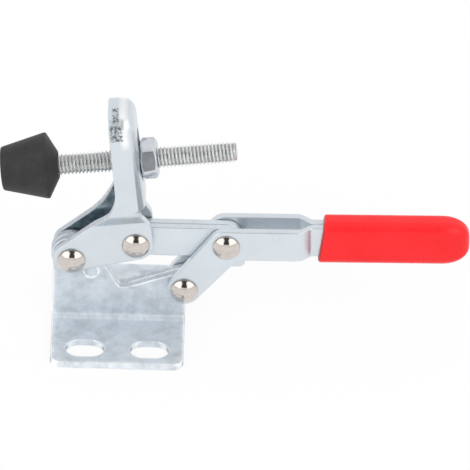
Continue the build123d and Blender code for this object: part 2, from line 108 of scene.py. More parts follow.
def span_along(node, origin, direction):
    """How far a CAD node reaches along a direction, from the origin, as (nearest, farthest)."""
    reaches = [(vertex.co - origin).dot(direction) for vertex in nodes[node].data.vertices]
    return min(reaches), max(reaches)


# ---------------------------------------------------------------- mesh helpers

MERGE_DISTANCE = 0.002 * MM
ON_AXIS = 1e-9


def add_object(name, data):
    item = bpy.data.objects.new(name, data)
    bpy.context.scene.collection.objects.link(item)
    return item


def new_piece(name, mesh, body, replaced, material):
    """A finished mesh as a piece of the scene, in place of a CAD node."""
    piece = add_object(name, mesh)
    mesh.materials.clear()
    mesh.materials.append(material)
    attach(piece, body)
    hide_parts(replaced)


def mesh_from(name, points, faces):
    mesh = bpy.data.meshes.new(name)
    mesh.from_pydata(points, [], faces)
    mesh.update()
    return mesh


@contextmanager
def opened(mesh):
    """A mesh opened for editing, and written back afterwards."""
    work = bmesh.new()
    work.from_mesh(mesh)
    yield work
    work.to_mesh(mesh)
    work.free()


def smooth_by_angle(mesh, angle):
    """Smooth shading, with the edges that are sharper than the angle kept crisp."""
    with opened(mesh) as work:
        for face in work.faces:
            face.smooth = True
        for edge in work.edges:
            edge.smooth = len(edge.link_faces) == 2 and edge.calc_face_angle(0) < angle


def cleaned(mesh):
    """The mesh with points merged that all but coincide, and without faces that have no area."""
    with opened(mesh) as work:
        bmesh.ops.remove_doubles(work, verts=work.verts, dist=MERGE_DISTANCE)
        bmesh.ops.dissolve_degenerate(work, dist=MERGE_DISTANCE, edges=work.edges)
    return mesh


def modified(mesh, kind, **settings):
    """A copy of a mesh with one modifier applied."""
    carrier = add_object("carrier", mesh)
    modifier = carrier.modifiers.new(kind, kind)
    for key, value in settings.items():
        setattr(modifier, key, value)
    bpy.context.view_layer.update()
    evaluated = carrier.evaluated_get(bpy.context.evaluated_depsgraph_get())
    result = bpy.data.meshes.new_from_object(evaluated)
    bpy.data.objects.remove(carrier)
    return result


def circle(radius, height, segments, placing):
    """Points round a turned form's axis."""
    turns = [2 * pi * k / segments for k in range(segments)]
    return [placing @ Vector((radius * cos(turn), radius * sin(turn), height)) for turn in turns]


def lathe(profile, segments, placing):
    """Points and faces of a turned form. The profile is a list of (radius, height)."""
    points, faces, rings = [], [], []
    for radius, height in profile:
        ring = circle(radius, height, segments, placing) if radius > ON_AXIS else [placing @ Vector((0, 0, height))]
        rings.append(range(len(points), len(points) + len(ring)))
        points += ring
    for lower, upper in zip(rings, rings[1:]):
        for k in range(segments):
            after = (k + 1) % segments
            if len(lower) == 1:
                faces.append((lower[0], upper[after], upper[k]))
            elif len(upper) == 1:
                faces.append((lower[k], lower[after], upper[0]))
            else:
                faces.append((lower[k], lower[after], upper[after], upper[k]))
    return points, faces


# ---------------------------------------------------------------- rounding of stamped edges

WELD_DISTANCE = 0.0005 * MM
FLAT_ANGLE = radians(0.6)
SHARP_ANGLE = radians(60)
CREASE_ANGLE = radians(15)
ROUNDING_SEGMENTS = 2
FLATNESS_WEIGHT = 60
# Where the arm's cheeks run out beside its web
SHOULDER_X = (2.9 * MM, 6.3 * MM)
SHOULDER_Y_FROM = 4.3 * MM
SHOULDER_Z = (40.8 * MM, 41.8 * MM)


def runs_beside_crease(edge, sharp):
    """Whether a crease leaves one end of a sharp edge almost along it, where a rounding would overrun the crease."""
    for vert in edge.verts:
        towards = edge.other_vert(vert).co - vert.co
        for other in vert.link_edges:
            if other not in sharp and towards.angle(other.other_vert(vert).co - vert.co) < CREASE_ANGLE:
                return True
    return False


def on_narrow_shoulder(point):
    """Where the arm is too narrow for a rounded edge."""
    return (SHOULDER_X[0] < point.x < SHOULDER_X[1] and abs(point.y) > SHOULDER_Y_FROM
            and SHOULDER_Z[0] < point.z < SHOULDER_Z[1])


def rounded_copy(node, width):
    """A copy of a CAD node's mesh with its stamped edges rounded, and its flat faces kept flat in shading."""
    work = bmesh.new()
    work.from_mesh(nodes[node].data)
    for face in work.faces:
        face.smooth = True
    bmesh.ops.remove_doubles(work, verts=work.verts, dist=WELD_DISTANCE)
    bmesh.ops.dissolve_limit(work, angle_limit=FLAT_ANGLE, verts=work.verts, edges=work.edges)
    weight = work.edges.layers.float.new("bevel_weight_edge")
    sharp = {edge for edge in work.edges if len(edge.link_faces) == 2 and edge.calc_face_angle(0) > SHARP_ANGLE}
    crisp = {edge for edge in sharp if runs_beside_crease(edge, sharp)}
    if node == "clamp_arm":
        crisp |= {edge for edge in sharp if any(on_narrow_shoulder(vert.co) for vert in edge.verts)}
    for edge in sharp - crisp:
        edge[weight] = 1.0
    mesh = bpy.data.meshes.new(node + "_rounded")
    work.to_mesh(mesh)
    work.free()
    rounded = modified(mesh, "BEVEL", width=width, segments=ROUNDING_SEGMENTS, limit_method="WEIGHT",
                       use_clamp_overlap=False)
    return modified(cleaned(rounded), "WEIGHTED_NORMAL", mode="FACE_AREA", weight=FLATNESS_WEIGHT)


# ---------------------------------------------------------------- material helpers

# Most of a noise texture's values lie between these
NOISE_LOW, NOISE_HIGH = 0.3, 0.7


class Nodes:
    """Short calls for building one material's node tree. Places and directions are on the body at rest."""

    def __init__(self, name):
        self.material = bpy.data.materials.new(name)
        self.material.use_nodes = True
        self.tree = self.material.node_tree
        self.shader = self.tree.nodes["Principled BSDF"]
        coordinates = self.add("ShaderNodeTexCoord").outputs
        self.place, self.normal = coordinates["Object"], coordinates["Normal"]

    def add(self, kind, **values):
        node = self.tree.nodes.new(kind)
        for key, value in values.items():
            setattr(node, key, value)
        return node

    def link(self, source, target):
        self.tree.links.new(source, target)

    def feed(self, value, socket):
        """Links a node's output to the socket, or sets a constant there."""
        if hasattr(value, "links"):
            self.link(value, socket)
        elif value is not None:
            socket.default_value = value

    def set(self, **values):
        """Feeds the shader's own sockets."""
        for key, value in values.items():
            self.feed(value, self.shader.inputs[key.replace("_", " ")])

    # Numbers

    def math(self, operation, first, second=0.0):
        node = self.add("ShaderNodeMath", operation=operation)
        self.feed(first, node.inputs[0])
        self.feed(second, node.inputs[1])
        return node.outputs[0]

    def absolute(self, value):
        return self.math("ABSOLUTE", value)

    def larger(self, first, second):
        return self.math("MAXIMUM", first, second)

    def outside(self, share):
        """1 where the share is 0, and 0 where it is 1."""
        return self.math("SUBTRACT", 1.0, share)

    def product(self, first, *others):
        for other in others:
            first = self.math("MULTIPLY", first, other)
        return first

    def span(self, value, low, high, from_low=NOISE_LOW, from_high=NOISE_HIGH):
        """The value, moved from one range to the range from low to high, and kept within it."""
        span = self.add("ShaderNodeMapRange")
        span.inputs["From Min"].default_value = from_low
        span.inputs["From Max"].default_value = from_high
        span.inputs["To Min"].default_value = low
        span.inputs["To Max"].default_value = high
        self.link(value, span.inputs["Value"])
        return span.outputs["Result"]

    def rise(self, value, start, end):
        """0 up to the start, and 1 from the end on."""
        return self.span(value, 0.0, 1.0, start, end)

    def fall(self, value, start, end):
        """1 up to the start, and 0 from the end on."""
        return self.span(value, 1.0, 0.0, start, end)

    def band(self, value, low, high, soft):
        """1 between low and high, and 0 past their soft edges."""
        return self.product(self.rise(value, low - soft, low + soft), self.fall(value, high - soft, high + soft))

    # Places and directions

    def vector(self, operation, first, second=None):
        node = self.add("ShaderNodeVectorMath", operation=operation)
        self.feed(first, node.inputs[0])
        self.feed(second, node.inputs[1])
        return node.outputs["Value" if operation in ("DOT_PRODUCT", "LENGTH") else "Vector"]

    def along(self, origin, direction):
        """The distance in metres from an origin along a direction."""
        return self.vector("DOT_PRODUCT", self.vector("SUBTRACT", self.place, origin), direction)

    def from_axis(self, origin, direction):
        """The distance in metres from an axis."""
        away = self.vector("CROSS_PRODUCT", self.vector("SUBTRACT", self.place, origin), direction)
        return self.vector("LENGTH", away)

    def facing(self, direction):
        """How far the surface faces a direction, from -1 to 1."""
        return self.vector("DOT_PRODUCT", self.normal, direction)

    def facing_either_way(self, direction):
        return self.absolute(self.facing(direction))

    def stretched(self, scale):
        mapping = self.add("ShaderNodeMapping")
        mapping.inputs["Scale"].default_value = scale
        self.link(self.place, mapping.inputs["Vector"])
        return mapping.outputs["Vector"]

    # Patterns and colours

    def noise(self, size, detail=3.0, roughness=0.5, place=None):
        noise = self.add("ShaderNodeTexNoise")
        noise.inputs["Scale"].default_value = 1 / size
        noise.inputs["Detail"].default_value = detail
        noise.inputs["Roughness"].default_value = roughness
        self.link(place or self.place, noise.inputs["Vector"])
        return noise.outputs["Fac"]

    def ramp(self, value, stops):
        ramp = self.add("ShaderNodeValToRGB")
        elements = ramp.color_ramp.elements
        while len(elements) < len(stops):
            elements.new(0.5)
        for element, (position, colour) in zip(elements, stops):
            element.position = position
            element.color = (*colour, 1.0)
        self.link(value, ramp.inputs["Fac"])
        return ramp.outputs["Color"]

    def grey(self, value):
        grey = self.add("ShaderNodeCombineColor")
        for channel in ("Red", "Green", "Blue"):
            self.link(value, grey.inputs[channel])
        return grey.outputs["Color"]

    def mix(self, share, first, second, blend="MIX"):
        mix = self.add("ShaderNodeMix", data_type="RGBA", blend_type=blend)
        for value, socket in ((share, mix.inputs[0]), (first, mix.inputs[6]), (second, mix.inputs[7])):
            self.feed((*value, 1.0) if isinstance(value, tuple) else value, socket)
        return mix.outputs[2]

    def multiplied(self, first, second):
        return self.mix(1.0, first, second, "MULTIPLY")

    def tinted(self, share, colour, tint):
        """The colour, multiplied by the tint where the share is 1."""
        return self.mix(share, colour, self.multiplied(colour, tint))

    def bump(self, height, strength, distance, before=None):
        bump = self.add("ShaderNodeBump")
        bump.inputs["Strength"].default_value = strength
        bump.inputs["Distance"].default_value = distance
        self.link(height, bump.inputs["Height"])
        self.feed(before, bump.inputs["Normal"])
        return bump.outputs["Normal"]


def shade(colour, factor):
    return tuple(channel * factor for channel in colour)


# ---------------------------------------------------------------- zinc plating, its wear, and painted highlights and shade

SPECK_SIZE = 0.35 * MM
WAVE_SIZE = 2.2 * MM
STREAK_WHITE = (1, 1, 1.01)


def zinc(name, colour, cloud, contrast, roughness, grain=0.12, metal=0.85, wave=0.05, wear_and_painted_light=None):
    """Bright zinc plating: a cloudy satin metal.

    cloud is the size of its clouds and contrast their strength, grain and wave are the strength of its fine and its
    wide unevenness, and the last argument is a function that adds wear, painted highlights and painted shade to its
    colour.
    """
    m = Nodes(name)
    clouds = m.noise(cloud, 4.0, 0.55)
    specks = m.noise(SPECK_SIZE, 2.0, 0.6)
    dark, light = shade(colour, 1 - contrast), shade(colour, 1 + contrast * 0.6)
    base = m.ramp(clouds, [(0.32, dark), (0.52, colour), (0.72, light)])
    plated = m.multiplied(base, m.grey(m.span(specks, 1 - contrast * 0.5, 1 + contrast * 0.3)))
    m.set(Base_Color=wear_and_painted_light(m, plated) if wear_and_painted_light else plated)
    m.set(Metallic=metal, Roughness=m.span(clouds, roughness - 0.05, roughness + 0.07))
    waves = m.noise(WAVE_SIZE, 2.0, 0.4)
    m.set(Normal=m.bump(specks, grain, 0.05 * MM, m.bump(waves, wave, 0.25 * MM)))
    return m.material


def sideways_share(m):
    """1 on a sheet's cut edges, which run from its front face to its back face, and 0 on those faces."""
    return m.outside(m.rise(m.facing_either_way(BACK), 0.3, 0.5))


def rolled_edge_share(m):
    """1 where the die rolled a stamped edge over, between two of the sheet's own directions, and 0 on flat faces."""
    straightest = m.facing_either_way(RIGHT)
    for direction in (BACK, UP):
        straightest = m.larger(straightest, m.facing_either_way(direction))
    return m.fall(straightest, 0.84, 0.95)


def streaked(m, colour, share, brightness, spread):
    """A cut edge, streaked from face to face by the shear."""
    streaks = m.noise(0.7 * MM, 3.0, 0.6, m.stretched((1.0, 0.35, 1.0)))
    dark, light = shade(STREAK_WHITE, brightness - spread), shade(STREAK_WHITE, brightness + spread)
    return m.tinted(share, colour, m.ramp(streaks, [(0.3, dark), (0.62, light)]))


def link_marks(m, colour):
    return streaked(m, colour, sideways_share(m), 0.97, 0.04)


NUT_SHADED_FLAT = (-0.05, -0.92, 0.39)


def nut_painted_shade(m, colour):
    """Painted shade on the nuts' foremost flat, dark between the soft lights of its neighbours."""
    return m.tinted(m.rise(m.facing(NUT_SHADED_FLAT), 0.985, 0.998), colour, (0.46, 0.46, 0.46))


# Marks on the base. A pair gives the two ends of the range where a mark fades in or out, or a band's two edges.
CUT_EDGES_ABOVE = (5.5 * MM, 6 * MM)
BEND_BAND = (2.0 * MM, 4.6 * MM)
EARS_ABOVE = (19 * MM, 20 * MM)
MARGIN_BESIDE = (16.8 * MM, 17.5 * MM)
MARGIN_IN_FRONT = (22.0 * MM, 22.6 * MM)
FLANGE_BELOW = (3.0 * MM, 4.0 * MM)
CLINCH_CENTRE = Vector((-7.65 * MM, 0, 17.45 * MM))
CLINCH_RIM = (1.75 * MM, 2.35 * MM)


def base_wear_and_painted_light(m, colour):
    """Wear of the base plates, from the bend up to the ears, with painted highlights and painted shade."""
    height = m.along(ORIGIN, UP)
    colour = streaked(m, colour, m.product(sideways_share(m), m.rise(height, *CUT_EDGES_ABOVE)), 0.80, 0.08)

    # The bend, lightened by a painted highlight, with streaks along it
    bend = m.product(m.band(m.facing(UP), 0.06, 0.97, 0.04), m.band(height, *BEND_BAND, 0.2 * MM))
    bend_streaks = m.noise(0.5 * MM, 2.0, 0.6, m.stretched((1.0, 0.1, 0.1)))
    colour = m.tinted(bend, colour, m.ramp(bend_streaks, [(0.35, (1.03, 1.04, 1.05)), (0.65, (1.15, 1.14, 1.12))]))

    # Darker cut edges round the ears, and a painted highlight along the plate's sides and the flange's front
    ears = m.rise(height, *EARS_ABOVE)
    colour = m.tinted(m.product(ears, sideways_share(m)), colour, (0.78, 0.78, 0.79))
    beside = m.rise(m.absolute(m.along(ORIGIN, RIGHT)), *MARGIN_BESIDE)
    in_front = m.rise(m.absolute(m.along(ORIGIN, BACK)), *MARGIN_IN_FRONT)
    colour = m.tinted(m.product(m.larger(beside, in_front), m.outside(ears)), colour, (1.13, 1.11, 1.09))

    # Painted highlights on the rolled edges, and painted shade on the flange's sides
    rolled = m.product(rolled_edge_share(m), m.outside(m.larger(bend, ears)))
    colour = m.tinted(rolled, colour, (1.34, 1.29, 1.25))
    flange_side_shade = m.product(m.rise(m.facing_either_way(RIGHT), 0.80, 0.97), m.fall(height, *FLANGE_BELOW))
    colour = m.tinted(flange_side_shade, colour, (0.45, 0.45, 0.46))

    # The clinch mark's rim, lightened in patches by a painted highlight
    rim = m.band(m.from_axis(CLINCH_CENTRE, BACK), *CLINCH_RIM, 0.15 * MM)
    rim_highlight_patches = m.span(m.noise(1.6 * MM), 0.1, 1.0, 0.4, 0.5)
    return m.tinted(m.product(rim, rim_highlight_patches), colour, (1.5, 1.45, 1.4))


# Marks on the arm, in the same way. Heights are along arm_up and reaches along the spindle, both from the arm's pivot.
CUT_EDGES_TO_HEIGHT = (38 * MM, 44 * MM)
CUT_EDGES_TO_REACH = (20.5 * MM, 21.0 * MM)
FAR_CHEEK_BEHIND = (1.0 * MM, 1.5 * MM)
FAR_CHEEK_TO_REACH = (15.5 * MM, 16.5 * MM)
CROWN_HIGHLIGHT_REACH, CROWN_HIGHLIGHT_HEIGHT = (18.0 * MM, 19.9 * MM), (38.0 * MM, 47.5 * MM)
PATCHES_IN_FRONT = (1.0 * MM, 1.6 * MM)
UPPER_PATCH_HEIGHT, UPPER_PATCH_REACH = (45.4 * MM, 47.9 * MM), (16.1 * MM, 17.8 * MM)
LOWER_PATCH_HEIGHT, LOWER_PATCH_REACH = (40.2 * MM, 44.8 * MM), (15.2 * MM, 18.5 * MM)


def arm_wear_and_painted_light(m, colour):
    """Wear of the arm, painted shade inside it, a painted highlight on its crown, and two mottled patches on its
    front.
    """
    reach = m.along(arm_pivot, spindle_direction)
    height = m.along(arm_pivot, arm_up)
    cut = m.product(sideways_share(m), m.fall(height, *CUT_EDGES_TO_HEIGHT), m.fall(reach, *CUT_EDGES_TO_REACH))
    colour = streaked(m, colour, cut, 0.78, 0.10)

    # The far cheek's inner face, in teal shade
    inner = m.product(m.rise(m.facing(FRONT), 0.5, 0.8), m.rise(m.along(ORIGIN, BACK), *FAR_CHEEK_BEHIND),
                      m.fall(reach, *FAR_CHEEK_TO_REACH))
    shade_clouds = m.noise(2.5 * MM, 3.0, 0.6)
    colour = m.tinted(inner, colour, m.ramp(shade_clouds, [(0.35, (0.20, 0.28, 0.33)), (0.65, (0.52, 0.60, 0.64))]))

    # The crown's back, lightened by a painted highlight, and two mottled dark and white patches on its front
    crown_highlight = m.product(m.band(reach, *CROWN_HIGHLIGHT_REACH, 0.6 * MM), m.band(height, *CROWN_HIGHLIGHT_HEIGHT, 1.2 * MM))
    colour = m.tinted(crown_highlight, colour, (1.42, 1.32, 1.25))
    front = m.rise(m.along(ORIGIN, FRONT), *PATCHES_IN_FRONT)
    upper = m.product(m.band(height, *UPPER_PATCH_HEIGHT, 0.25 * MM), m.band(reach, *UPPER_PATCH_REACH, 0.3 * MM))
    lower = m.product(m.band(height, *LOWER_PATCH_HEIGHT, 0.3 * MM), m.band(reach, *LOWER_PATCH_REACH, 0.3 * MM))
    blotches = m.ramp(m.noise(0.55 * MM, 3.0, 0.65), [(0.40, (0.10, 0.11, 0.12)), (0.60, (1.0, 1.0, 1.0))])
    return m.tinted(m.product(m.larger(upper, lower), front), colour, blotches)


zinc_base = zinc("zinc_base", (0.725, 0.785, 0.845), 3.4 * MM, 0.17, 0.34, metal=0.42, wave=0.14, wear_and_painted_light=base_wear_and_painted_light)
zinc_arm = zinc("zinc_arm", (0.70, 0.755, 0.80), 12 * MM, 0.05, 0.29, metal=0.75, wear_and_painted_light=arm_wear_and_painted_light)
zinc_link = zinc("zinc_link", (0.72, 0.775, 0.82), 12 * MM, 0.06, 0.30, metal=0.75, wear_and_painted_light=link_marks)
zinc_handle = zinc("zinc_handle", (0.71, 0.765, 0.81), 14 * MM, 0.04, 0.29, metal=0.75)
zinc_nut = zinc("zinc_nut", (0.70, 0.74, 0.78), 3 * MM, 0.14, 0.24, grain=0.2, wear_and_painted_light=nut_painted_shade)

# ---------------------------------------------------------------- the other materials


def nickel():
    """Polished nickel of the rivets' domes, faintly wavy from the riveting die, with painted shade darkening it
    towards its rim.
    """
    m = Nodes("nickel")
    stain = m.noise(1.6 * MM, 3.0, 0.6)
    base = m.ramp(stain, [(0.3, (0.60, 0.55, 0.51)), (0.6, (0.67, 0.62, 0.58))])
    # Painted shade, darker towards the rim
    rim = m.fall(m.facing_either_way(BACK), 0.35, 0.62)
    m.set(Base_Color=m.tinted(rim, base, (0.55, 0.55, 0.56)))
    m.set(Metallic=1.0, Roughness=m.span(stain, 0.05, 0.10))
    m.set(Normal=m.bump(m.noise(0.9 * MM, 2.0, 0.5), 0.05, 0.08 * MM))
    return m.material


def thread_steel():
    """Zinc-plated rolled thread, with painted shade darkening its groove."""
    m = Nodes("thread_steel")
    stains = m.noise(1.5 * MM, 3.0, 0.6)
    steel = m.ramp(stains, [(0.3, (0.70, 0.71, 0.71)), (0.65, (0.94, 0.95, 0.95))])
    crest_share = m.rise(m.from_axis(cap_face_centre, spindle_direction), ROOT_RADIUS, CREST_RADIUS)
    # Painted shade, darker towards the root of the groove
    groove = m.ramp(crest_share, [(0.0, (0.52, 0.52, 0.51)), (0.35, (0.92, 0.92, 0.92)), (0.7, (1.0, 1.0, 1.0))])
    m.set(Base_Color=m.multiplied(steel, groove), Metallic=0.85)
    m.set(Roughness=m.span(stains, 0.18, 0.28))
    m.set(Normal=m.bump(m.noise(0.8 * MM, 2.0, 0.5), 0.08, 0.05 * MM))
    return m.material


def rubber():
    """Matt black moulded rubber, a little dusty."""
    m = Nodes("rubber")
    dust = m.noise(3 * MM, 6.0, 0.7)
    grain = m.noise(0.25 * MM, 2.0, 0.6)
    m.set(Base_Color=m.ramp(dust, [(0.32, (0.018, 0.018, 0.019)), (0.7, (0.040, 0.040, 0.041))]))
    m.set(Roughness=m.span(dust, 0.50, 0.64), Specular_IOR_Level=0.36)
    m.set(Normal=m.bump(grain, 0.18, 0.05 * MM))
    return m.material


def red_vinyl():
    """Glossy dipped vinyl, with painted shade darkening the lip at its mouth."""
    m = Nodes("red_vinyl")
    flow = m.noise(9 * MM, 2.0, 0.4)
    fine = m.noise(1.1 * MM, 2.0, 0.5)
    red = m.ramp(flow, [(0.3, (0.95, 0.009, 0.012)), (0.7, (1.0, 0.014, 0.019))])
    # Painted shade on the lip, where its surface turns to face left
    m.set(Base_Color=m.mix(m.rise(m.facing(LEFT), 0.60, 0.90), red, (0.42, 0.010, 0.014)))
    m.set(Roughness=m.span(fine, 0.26, 0.34), Specular_IOR_Level=0.38)
    m.set(Normal=m.bump(flow, 0.10, 0.12 * MM))
    return m.material


nickel_dome = nickel()
thread = thread_steel()
black_rubber = rubber()
vinyl = red_vinyl()

# ---------------------------------------------------------------- stamped sheets and nuts with soft edges

# CAD nodes' names, body, slot, material and the width of the rounding
stamped = [
    (("base_plate_front", "base_plate_rear"), "base", "zinc_base", zinc_base, 0.50 * MM),
    (("clamp_arm",), "arm", "zinc_arm", zinc_arm, 0.28 * MM),
    (("link_plate_front", "link_plate_rear"), "link", "zinc_link", zinc_link, 0.30 * MM),
    (("handle_strip_front", "handle_strip_rear"), "handle", "zinc_handle", zinc_handle, 0.30 * MM),
    (("nut_outer", "nut_inner"), "arm", "zinc_nut", zinc_nut, 0.16 * MM),
]
for names, body, slot, material, rounding in stamped:
    for node in names:
        new_piece(node + "_finished", rounded_copy(node, rounding), body, node, material)

# ---------------------------------------------------------------- rivets

RIVET_SEGMENTS = 72
RIVET_CRISP_ANGLE = radians(50)
SHANK_RADIUS = 2.5 * MM
RIM_HEIGHT = 0.4 * MM
RIM_ROUND = 0.18 * MM
RIM_SINK = 0.4 * RIM_ROUND
RIM_TURN = radians(38)
RIM_STEPS = 4
DOME_HEIGHT = 1.75 * MM
DOME_STEPS = 14
# The angle on the dome's sphere that is left free for the rounded rim
DOME_START = 0.05


def arc(centre, radius, start, end, steps):
    """Points of a profile's arc, by angles from the radial direction towards the axis."""
    turns = [start + (end - start) * k / steps for k in range(steps + 1)]
    return [(centre[0] + radius * cos(turn), centre[1] + radius * sin(turn)) for turn in turns]


def rivet_profile(node, inner):
    """One half of a rivet from its inner end to its dome, as (radius, distance from the middle plane)."""
    low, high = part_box(node)
    head_radius = (high.x - low.x) / 2
    crown = high.y
    rim = crown - DOME_HEIGHT
    seat = rim - RIM_HEIGHT
    sphere = (head_radius**2 + DOME_HEIGHT**2) / (2 * DOME_HEIGHT)
    dome = arc((0, crown - sphere), sphere, acos(head_radius / sphere) + DOME_START, pi / 2, DOME_STEPS)
    dome[-1] = (0, crown)
    rim_arc = arc((head_radius - RIM_ROUND, rim - RIM_SINK), RIM_ROUND, 0, RIM_TURN, RIM_STEPS)
    inner_end = [(0, inner)] if inner > 0 else []
    return inner_end + [(SHANK_RADIUS, inner), (SHANK_RADIUS, seat), (head_radius - RIM_ROUND, seat),
                        (head_radius, seat + RIM_ROUND)] + rim_arc + dome


def rivet(node, centre, inner, body):
    """Both halves of a rivet across the clamp. They meet in the middle where inner is 0."""
    points, faces = [], []
    for side in (-1, 1):
        placing = frame_along(Vector((0, side, 0)), Vector((centre.x, 0, centre.z)))
        half_points, half_faces = lathe(rivet_profile(node, inner), RIVET_SEGMENTS, placing)
        faces += [tuple(index + len(points) for index in face) for face in half_faces]
        points += half_points
    mesh = cleaned(mesh_from(node + "_domes", points, faces))
    smooth_by_angle(mesh, RIVET_CRISP_ANGLE)
    new_piece(node + "_domes", mesh, body, node, nickel_dome)


rivet("rivet_arm_pivot", arm_pivot, 0.0, "base")
rivet("rivet_handle_pivot", handle_pivot, 0.0, "base")
rivet("rivet_handle_link", handle_link_pivot, 0.0, "handle")
link_inner = min(abs(vertex.co.y) for vertex in nodes["rivet_arm_link"].data.vertices)
rivet("rivet_arm_link", arm_link_pivot, link_inner, "arm")

# ---------------------------------------------------------------- threaded spindle

THREAD_STEPS = 36
THREAD_CRISP_ANGLE = radians(38)
END_CHAMFER = 0.7 * MM
# One pitch of the thread's profile, as (share of the pitch, share of its depth)
THREAD_PROFILE = ((0.0, 0.0), (0.22, 0.0), (0.545, 0.92), (0.61, 1.0), (0.675, 0.92))


def threaded_rod(start, end, placing):
    """A rolled thread as one helical strip, with chamfered ends closed by discs."""
    turns = ceil((end - start) / PITCH) + 2
    columns = len(THREAD_PROFILE)
    points, faces = [], []
    for step in range(turns * THREAD_STEPS + 1):
        turn = 2 * pi * step / THREAD_STEPS
        for share, depth in THREAD_PROFILE:
            along = start + PITCH * (step / THREAD_STEPS - 1 + share)
            reach = ROOT_RADIUS + (CREST_RADIUS - ROOT_RADIUS) * depth
            along = min(max(along, start), end)
            from_end = min(along - start, end - along)
            reach = min(reach, CREST_RADIUS - END_CHAMFER + from_end)
            points.append(placing @ Vector((reach * cos(turn), reach * sin(turn), along)))
    for step in range(turns * THREAD_STEPS):
        row = step * columns
        for column in range(columns - 1):
            faces.append((row + column, row + columns + column, row + columns + column + 1, row + column + 1))
        next_turn = row + THREAD_STEPS * columns
        if next_turn + columns < len(points):
            faces.append((row + columns - 1, row + 2 * columns - 1, next_turn + columns, next_turn))
    for centre_along in (start, end):
        first = len(points)
        points.append(placing @ Vector((0, 0, centre_along)))
        points += circle(CREST_RADIUS - END_CHAMFER, centre_along, THREAD_STEPS, placing)
        for k in range(THREAD_STEPS):
            pair = (first + 1 + k, first + 1 + (k + 1) % THREAD_STEPS)
            faces.append((first, *pair) if centre_along == end else (first, pair[1], pair[0]))
    return points, faces


spindle_frame = frame_along(spindle_direction, cap_face_centre)
rod_start, rod_end = span_along("spindle", cap_face_centre, spindle_direction)
rod_mesh = cleaned(mesh_from("spindle_thread", *threaded_rod(rod_start, rod_end, spindle_frame)))
smooth_by_angle(rod_mesh, THREAD_CRISP_ANGLE)
new_piece("spindle_thread", rod_mesh, "arm", "spindle", thread)

# ---------------------------------------------------------------- rubber cap

CAP_SEGMENTS = 96
CAP_CORNER_STEPS = 4
CAP_CRISP_ANGLE = radians(30)
CAP_FACE_RADIUS = 5.9 * MM
CAP_FACE_FLAT_RADIUS = CAP_FACE_RADIUS - 0.8 * MM
CAP_FACE_FALL = 0.15 * MM
CAP_RIM_RADIUS = 9.0 * MM
CAP_RIM_AT = 12.0 * MM
CAP_RIM_WIDTH = 0.6 * MM
CAP_BACK_RADIUS = 3.3 * MM
CAP_BORE_RADIUS = CAP_BACK_RADIUS - 0.3 * MM


def rounded_profile(corners):
    """A turned profile with a small arc at each inner corner. A corner is (radius, height, rounding)."""
    points = [corners[0][:2]]
    for before, (x, y, rounding), after in zip(corners, corners[1:], corners[2:]):
        if rounding == 0:
            points.append((x, y))
            continue
        first = Vector((before[0] - x, before[1] - y)).normalized()
        second = Vector((after[0] - x, after[1] - y)).normalized()
        corner = Vector((x, y))
        start, end = corner + first * rounding, corner + second * rounding
        for k in range(CAP_CORNER_STEPS + 1):
            share = k / CAP_CORNER_STEPS
            point = start.lerp(corner, share).lerp(corner.lerp(end, share), share)
            points.append((point.x, point.y))
    points.append(corners[-1][:2])
    return points


cap_back = span_along("rubber_cap", cap_face_centre, spindle_direction)[1]
cap_corners = [
    (0, 0, 0),
    (CAP_FACE_FLAT_RADIUS, 0.0, 0.2 * MM),
    (CAP_FACE_RADIUS, CAP_FACE_FALL, 0.5 * MM),
    (CAP_RIM_RADIUS, CAP_RIM_AT, 0.25 * MM),
    (CAP_RIM_RADIUS, CAP_RIM_AT + CAP_RIM_WIDTH, 0.25 * MM),
    (CAP_BACK_RADIUS + 0.35 * MM, cap_back, 0.15 * MM),
    (CAP_BORE_RADIUS, cap_back, 0.1 * MM),
    (CAP_BORE_RADIUS, rod_start, 0),
    (0, rod_start, 0),
]
cap_points, cap_faces = lathe(rounded_profile(cap_corners), CAP_SEGMENTS, spindle_frame)
cap_mesh = cleaned(mesh_from("rubber_cap_moulded", cap_points, cap_faces))
smooth_by_angle(cap_mesh, CAP_CRISP_ANGLE)
new_piece("rubber_cap_moulded", cap_mesh, "arm", "rubber_cap", black_rubber)

# ---------------------------------------------------------------- dipped grip

FACES_UP = 0.95


def strip_tilt():
    """The handle strip's angle above X, from the direction that its upper edge faces."""
    total = Vector(ORIGIN)
    for polygon in nodes["handle_strip_front"].data.polygons:
        if polygon.normal.z > FACES_UP:
            total += polygon.normal * polygon.area
    return atan2(-total.x, total.z)


handle_turn = strip_tilt()
handle_along = Vector((cos(handle_turn), 0, sin(handle_turn)))
handle_up = Vector((-sin(handle_turn), 0, cos(handle_turn)))


def handle_point(along, across, up):
    return handle_link_pivot + handle_along * along + Vector((0, across, 0)) + handle_up * up


grip_start, grip_end = span_along("hand_grip", handle_link_pivot, handle_along)
grip_low, grip_high = span_along("hand_grip", handle_link_pivot, handle_up)
grip_middle = (grip_low + grip_high) / 2
grip_half_height = (grip_high - grip_low) / 2
grip_half_thickness = (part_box("hand_grip")[1].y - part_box("hand_grip")[0].y) / 2

GRIP_RING = 64
GRIP_STATIONS = 26
GRIP_CRISP_ANGLE = radians(60)
GRIP_EDGE = 3.0 * MM
FULLEST_EDGE = 0.98
# The two strips inside the grip, which its lip closes on
STRIP_HALF_HEIGHT, STRIP_HALF_THICKNESS, STRIP_EDGE = 4.75 * MM, 2.2 * MM, 0.3 * MM
LIP_LENGTH = 0.9 * MM
LIP_TURNED_IN = 0.25 * MM
LIP_STEPS = 6
# The dip line: how far it leans at the top, how much it drops to the bottom, and where the lean has faded out
DIP_TOP_AT = 1.38 * MM
DIP_DROP = 1.85 * MM
DIP_CURVE = 1.6
DIP_FADE = 6 * MM
# The far end: shares of the grip's half height at its last rings, and powers that make it blunt
END_LENGTH = 7.6 * MM
END_STEPS = 12
END_TIP = 0.16
END_LAST = 0.12
END_HEIGHT_POWER, END_THICKNESS_POWER = 0.8, 0.85
END_LEAST_THICKNESS, END_LEAST_EDGE = 0.02 * MM, 0.015 * MM


